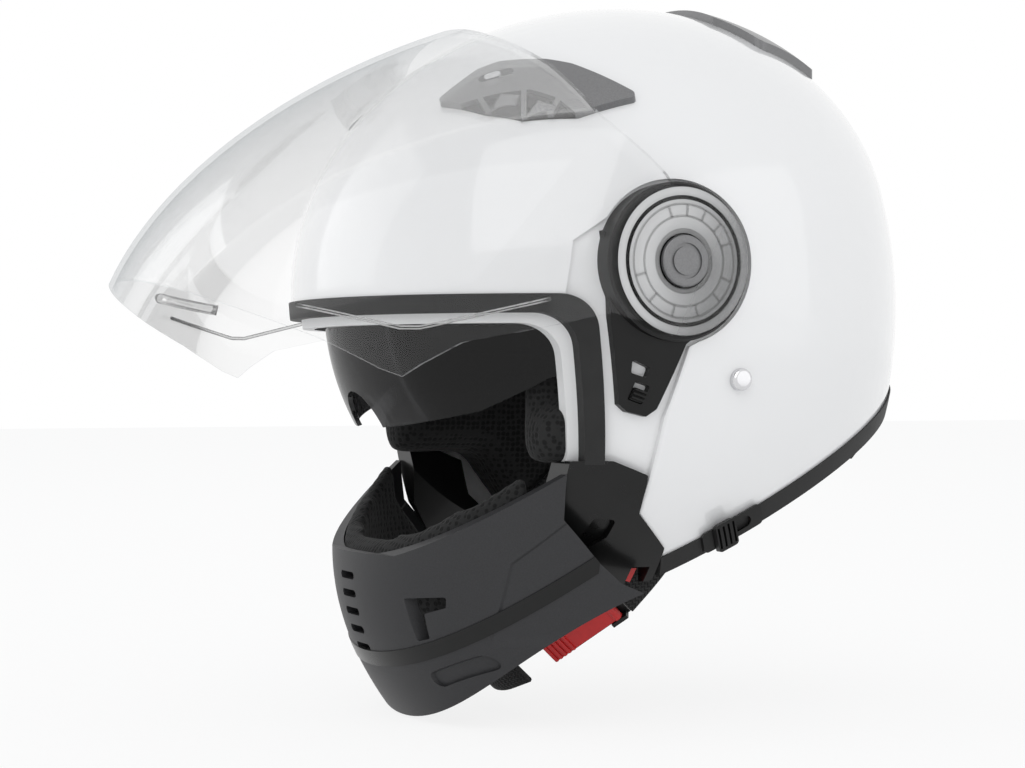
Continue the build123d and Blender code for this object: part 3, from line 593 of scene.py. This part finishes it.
TAB_FROM, TAB_LONG, TAB_TOP, TAB_DROP, TAB_STEPS = 41, 25, -15.0, 5.5, 12
TAB_WIDE, TAB_PROUD = 4.0, 2.4
TAB_REACH = (-240.0, -60.0)
tab_spots = []
for count in range(TAB_STEPS + 1):
    x = TAB_FROM + TAB_LONG * count / TAB_STEPS
    z = TAB_TOP - TAB_DROP * count / TAB_STEPS
    low, high = TAB_REACH
    for _ in range(SEEK_STEPS):
        y = (low + high) / 2
        outside = (x / SHIELD_HALF) ** 2 > shield_span(y, z)
        low, high = (y, high) if outside else (low, y)
    tab_spots.append(Vector((x, y, z)))
tab = ridge(tab_spots, TAB_WIDE, TAB_PROUD)
piece("shield_tab", finished(tab, "shield_tab"), "shield", moulded_clear)

# The brow vents: a pair of satin grey hoods on the forehead with blades in their mouths, over
# black intakes, and a bright ribbed slider in a slot that opens and shuts each one.
chrome = Finish("chrome", Metallic=1.0)
smear = chrome.grain(0.006, 3.0)
chrome.set(Base_Color=chrome.blend(smear, grey(0.62, 0.02), grey(0.72, 0.02)),
           Roughness=smear * 0.1 + 0.1)
for hand in ("left", "right"):
    skin("vent_intake_" + hand, "helmet", black_plastic)
    skin("brow_vent_" + hand, "helmet", titanium_plastic)
    skin("vent_slider_" + hand, "vent_knob_" + hand, chrome)

# Each blade by the two ends of its upper edge, and the start, pull and end of its lower one.
FINS = [((74.7, -58.2, 69.1), (80.7, -52.5, 68.1),
         (73, -63.7, 60.3), (76.8, -57.6, 65.6), (79.8, -53.6, 63.4)),
        ((86.7, -47.3, 65.5), (92, -42, 63),
         (84.5, -53.9, 56.7), (87.8, -47.2, 62.2), (91.5, -42.6, 60))]
FIN_ACROSS, FIN_DOWN, FIN_THICK = 8, 6, 0.9


def fin(corners, side):
    """A thin blade under the hood's arch with a hollowed lower edge."""
    made = bmesh.new()
    start, end, low, pull, last = [Vector((side * x, y, z)) * MM for x, y, z in corners]
    columns = []
    for step in range(FIN_ACROSS + 1):
        t = step / FIN_ACROSS
        top = start.lerp(end, t)
        base = low * (1 - t) ** 2 + pull * 2 * t * (1 - t) + last * t * t
        columns.append([made.verts.new(top.lerp(base, down / FIN_DOWN))
                        for down in range(FIN_DOWN + 1)])
    for one, two in zip(columns, columns[1:]):
        for down in range(FIN_DOWN):
            made.faces.new((one[down], one[down + 1], two[down + 1], two[down])).smooth = True
    bmesh.ops.recalc_face_normals(made, faces=made.faces)
    bmesh.ops.solidify(made, geom=made.faces[:], thickness=FIN_THICK * MM)
    return made


for side, hand in ((1, "left"), (-1, "right")):
    blades = [fin(corners, side) for corners in FINS]
    piece("vent_fins_" + hand, joined("vent_fins", blades), "helmet", titanium_plastic)

# The exhaust spoiler at the back of the crown: the same satin grey plastic as the brow vents,
# low and curved along the shell, with slots.
skin("rear_vent", "helmet", titanium_plastic)

# The accessory studs: domed bright metal heads, one on each side of the shell, behind and
# below the side plate.
for hand in ("left", "right"):
    skin("side_stud_" + hand, "helmet", chrome)

# The side pods: gloss black nylon blocks, fixed inside the shell's front corners, that take the
# ends of the chin bar. A red tab under each one lets the chin bar go.
black_gloss = Finish("black_gloss", Specular_IOR_Level=0.24, Coat_Weight=0.1, Coat_Roughness=0.08)
lustre = black_gloss.grain(0.015, 3.0)
black_gloss.set(Base_Color=black_gloss.blend(lustre, grey(0.005), grey(0.01)),
                Roughness=lustre * 0.1 + 0.24)
red_plastic = Finish("red_plastic")
red_wear = red_plastic.grain(0.004, 4.0)
red_plastic.set(
    Base_Color=red_plastic.blend(red_wear, (0.5, 0.008, 0.01, 1), (0.68, 0.02, 0.02, 1)),
    Roughness=red_wear * 0.2 + 0.28)
for hand in ("left", "right"):
    skin("side_pod_" + hand, "helmet", black_gloss, [on_egg(0), on_egg(-1)])
    skin("chin_release_" + hand, "chin_tab_" + hand, red_plastic)

# The chin bar: a stiff moulded guard in dull anthracite paint, with a front grille, side intakes
# and a gloss black band between its upper and lower halves. Its padding is thin black mesh.
chin_anthracite = Finish("chin_anthracite", Specular_IOR_Level=0.28)
paint = chin_anthracite.grain(0.0006, 3.0)
chin_anthracite.set(Base_Color=chin_anthracite.blend(paint, grey(0.026, 0.06), grey(0.042, 0.06)),
                    Roughness=paint * 0.14 + 0.42)
FOLD_RUNS = [((-54, -122), 1.125), ((-54, -122), 0.125)]
FOLD_LOW, FOLD_HIGH, FOLD_FADE = -152, -104, 6
FOLD_STEP, FOLD_DEEP, PAINT_SHARE = 0.9, 1.0, 0.03
_, along, up = chin_anthracite.axes()
folded = (along - bent_edge(up, FOLD_RUNS)).rise(-FOLD_STEP * MM, FOLD_STEP * MM)
folded *= up.between(FOLD_LOW * MM, FOLD_HIGH * MM, FOLD_FADE * MM)
chin_anthracite.bump(folded * -1.0 + paint * PAINT_SHARE, FOLD_DEEP * MM)
skin("chin_bar_shell", "chin_bar", chin_anthracite)
skin("chin_band", "chin_bar", black_gloss)
cushion("chin_lining", "chin_bar", rounds=4, swell=0.3, voxel=3.5)

# The inner visor: smoked polycarbonate that drops from under the brow, on two small steel pins,
# driven by a ribbed slide in a track on the left edge of the shell.
# The visor's darker second tint at its grazing edges is partly its longer path through the smoked
# sheet and partly painted shade.
smoke_visor = sheer("smoke_visor", grey(0.2, 0.02), grey(0.1, 0.02), 0.7)
steel = Finish("steel", Metallic=1.0)
turning = steel.grain(0.0008, 5.0)
steel.set(Base_Color=steel.blend(turning, grey(0.42), grey(0.55)), Roughness=turning * 0.2 + 0.25)
skin("sun_visor", "inner_visor", smoke_visor, sharp=40)
for hand in ("left", "right"):
    skin("inner_visor_pin_" + hand, "helmet", steel)
skin("slide_track", "helmet", black_plastic)
skin("visor_slide", "visor_knob", black_plastic)

# The chin strap: two lengths of black webbing from behind the cheek pads, one ending in a
# toothed plastic tongue and the other in a steel-pinned buckle with a red lever.
ratchet_grey = Finish("ratchet_grey")
ratchet_wear = ratchet_grey.grain(0.005, 4.0)
ratchet_grey.set(
    Base_Color=ratchet_grey.blend(ratchet_wear, (0.16, 0.21, 0.21, 1), (0.3, 0.38, 0.38, 1)),
    Roughness=ratchet_wear * 0.2 + 0.35)
skin("buckle_body", "helmet", black_plastic)
skin("buckle_pin", "helmet", steel)
skin("buckle_lever", "buckle_flap", red_plastic)
skin("ratchet_tongue", "tongue", ratchet_grey)

strap_webbing = Finish("strap_webbing", Roughness=0.85, Specular_IOR_Level=0.3, Sheen_Weight=0.08)
weave_map = strap_webbing.node("ShaderNodeUVMap", {"uv_map": "weave"})
weave_split = strap_webbing.node("ShaderNodeSeparateXYZ", inputs={0: weave_map}).socket.node
run, span = (Value(strap_webbing, weave_split.outputs[n]) for n in (0, 1))
rib_wave = ((span.math("PINGPONG", 1.0) + run) * math.pi).math("SINE") * 0.5 + 0.5
strap_webbing.set(Base_Color=strap_webbing.blend(rib_wave, grey(0.008), grey(0.03)))
strap_webbing.bump(rib_wave, 0.0003)

STRAP_ORIGIN = Vector((0, 38, -98))
STRAP_NORMAL = Vector((0, 0.72, -0.69)).normalized()
STRAP_DOWN = Vector((0, -0.69, -0.72)).normalized()
STRAP_WIDTH, STRAP_THICK, STRAP_BEND = 21.6, 2.2, 10.0
BEND_STEPS, BEND_SHARE = 8, 0.48  # a bend takes less than half of each run beside it
WEAVE_SHIFT = 40  # keeps the span of the weave above zero


def rounded(corners, bend):
    """A path through corners with each bend rounded."""
    spots = [Vector(corners[0])]
    for before, corner, after in zip(corners, corners[1:], corners[2:]):
        back, on = (Vector(end) - Vector(corner) for end in (before, after))
        room = min(bend, back.length * BEND_SHARE, on.length * BEND_SHARE)
        start, stop = (Vector(corner) + way.normalized() * room for way in (back, on))
        for step in range(BEND_STEPS + 1):
            t = step / BEND_STEPS
            spots.append(start * (1 - t) ** 2 + Vector(corner) * 2 * t * (1 - t) + stop * t * t)
    return spots + [Vector(corners[-1])]


def webbing(name, corners, node):
    """Flat woven strap along a path, with a woven selvedge on each edge."""
    path = rounded(corners, STRAP_BEND)
    made = bmesh.new()
    weave = made.loops.layers.uv.new("weave")
    upper = [(-1, 0.6), (-0.94, 1), (-0.5, 0.94), (0, 0.92), (0.5, 0.94), (0.94, 1), (1, 0.6)]
    section = upper + [(-wide, -thick) for wide, thick in upper]
    rows, gone = [], 0.0
    for spot, flat in enumerate(path):
        ahead = (path[min(spot + 1, len(path) - 1)] - path[max(spot - 1, 0)]).normalized()
        out = Vector((-ahead.y, ahead.x))
        gone += (flat - path[spot - 1]).length if spot else 0
        row = []
        for wide, thick in section:
            on = flat + out * thick * STRAP_THICK / 2
            place = STRAP_ORIGIN + Vector((on.x, 0, 0)) + STRAP_DOWN * on.y + STRAP_NORMAL * (
                wide * STRAP_WIDTH / 2)
            row.append(made.verts.new(place * MM))
        rows.append((gone, row))
    count = len(section)
    for (from_run, one), (to_run, two) in zip(rows, rows[1:]):
        for spot, face in enumerate(bridge(made, one, two)):
            face.smooth = True
            near, far = [section[n % count][0] * STRAP_WIDTH / 2 + WEAVE_SHIFT
                         for n in (spot, spot + 1)]
            corners = ((from_run, near), (from_run, far), (to_run, far), (to_run, near))
            for loop, place in zip(face.loops, corners):
                loop[weave].uv = place
    made.faces.new(rows[0][1])
    made.faces.new(reversed(rows[-1][1]))
    bmesh.ops.recalc_face_normals(made, faces=made.faces)
    piece(name, finished(made, name), "helmet", strap_webbing, (node,))


LEFT_RUN = [(60, -14), (66, 38), (64.4, 55)]
RIGHT_RUN = [(29.5, 99.4), (12, 109), (-32, 99), (-63, 48), (-60, -14)]
webbing("left_webbing", LEFT_RUN, "chin_strap_left")
webbing("right_webbing", RIGHT_RUN, "chin_strap_right")

# The studio: a pale floor just under the lowest edge and a white surround, with soft lamps
# at a plain level.
FLOOR_SIZE, FLOOR_GAP, FLOOR_WHITE = 6.0, 1.0, 0.84
floor_mesh = bmesh.new()
bmesh.ops.create_grid(floor_mesh, x_segments=1, y_segments=1, size=FLOOR_SIZE)
floor = bpy.data.objects.new("floor", finished(floor_mesh, "floor"))
floor.location = (0, 0, cad_box[0][2] - FLOOR_GAP * MM)
bpy.context.scene.collection.objects.link(floor)
pale_floor = Finish("pale_floor", Base_Color=grey(0.93), Roughness=0.9)
rays = pale_floor.node("ShaderNodeLightPath").socket.node.outputs
seen = Value(pale_floor, rays["Is Camera Ray"])
for kind in ("Is Transmission Ray", "Is Glossy Ray"):
    seen = seen.math("MAXIMUM", rays[kind])
white = pale_floor.node("ShaderNodeEmission", inputs={"Color": grey(1.0), "Strength": 1.0})
pale_floor.surface(seen * FLOOR_WHITE, pale_floor.main.outputs[0], white)
floor.data.materials.append(pale_floor.material)

world = bpy.data.worlds.new("studio")
world.use_nodes = True
bpy.context.scene.world = world
sky = world.node_tree
lit = sky.nodes["Background"]
lit.inputs["Color"].default_value = (0.97, 0.985, 1.0, 1)
lit.inputs["Strength"].default_value = 0.74
plain = sky.nodes.new("ShaderNodeBackground")
plain.inputs["Color"].default_value = (1, 1, 1, 1)
plain.inputs["Strength"].default_value = 1.0
rays = sky.nodes.new("ShaderNodeLightPath").outputs
straight = rays["Is Camera Ray"]
for kind in ("Is Glossy Ray", "Is Transmission Ray"):
    either = sky.nodes.new("ShaderNodeMath")
    either.operation = "MAXIMUM"
    sky.links.new(straight, either.inputs[0])
    sky.links.new(rays[kind], either.inputs[1])
    straight = either.outputs[0]
chooser = sky.nodes.new("ShaderNodeMixShader")
sky.links.new(straight, chooser.inputs[0])
sky.links.new(lit.outputs[0], chooser.inputs[1])
sky.links.new(plain.outputs[0], chooser.inputs[2])
sky.links.new(chooser.outputs[0], sky.nodes["World Output"].inputs["Surface"])

# Each lamp's name, place, size and power.
LAMPS = [("key", (1.9, -1.3, 1.7), 2.6, 19), ("side", (2.2, 1.6, 0.4), 2.2, 7),
         ("far", (-1.6, -2.0, 1.1), 2.2, 8)]
for name, spot, size, power in LAMPS:
    lamp = bpy.data.lights.new(name, "AREA")
    lamp.shape = "SQUARE"
    lamp.size = size
    lamp.energy = power
    holder = bpy.data.objects.new(name, lamp)
    holder.location = spot
    holder.rotation_euler = (-Vector(spot)).to_track_quat("-Z", "Y").to_euler()
    bpy.context.scene.collection.objects.link(holder)

# The camera stands level, at the height and angle of the photograph's, and its lens is the one
# that fitted pairs of mirrored points in it.
lens = bpy.data.cameras.new("camera")
lens.sensor_width = 36.0
lens.lens = 74.15
lens.clip_start = 0.05
eye = bpy.data.objects.new("camera", lens)
eye.location = (0.854018, -0.416443, -0.048877)
eye.rotation_euler = (math.radians(90), 0, math.radians(65))
bpy.context.scene.collection.objects.link(eye)
bpy.context.scene.camera = eye

bpy.context.scene.view_settings.view_transform = "Standard"
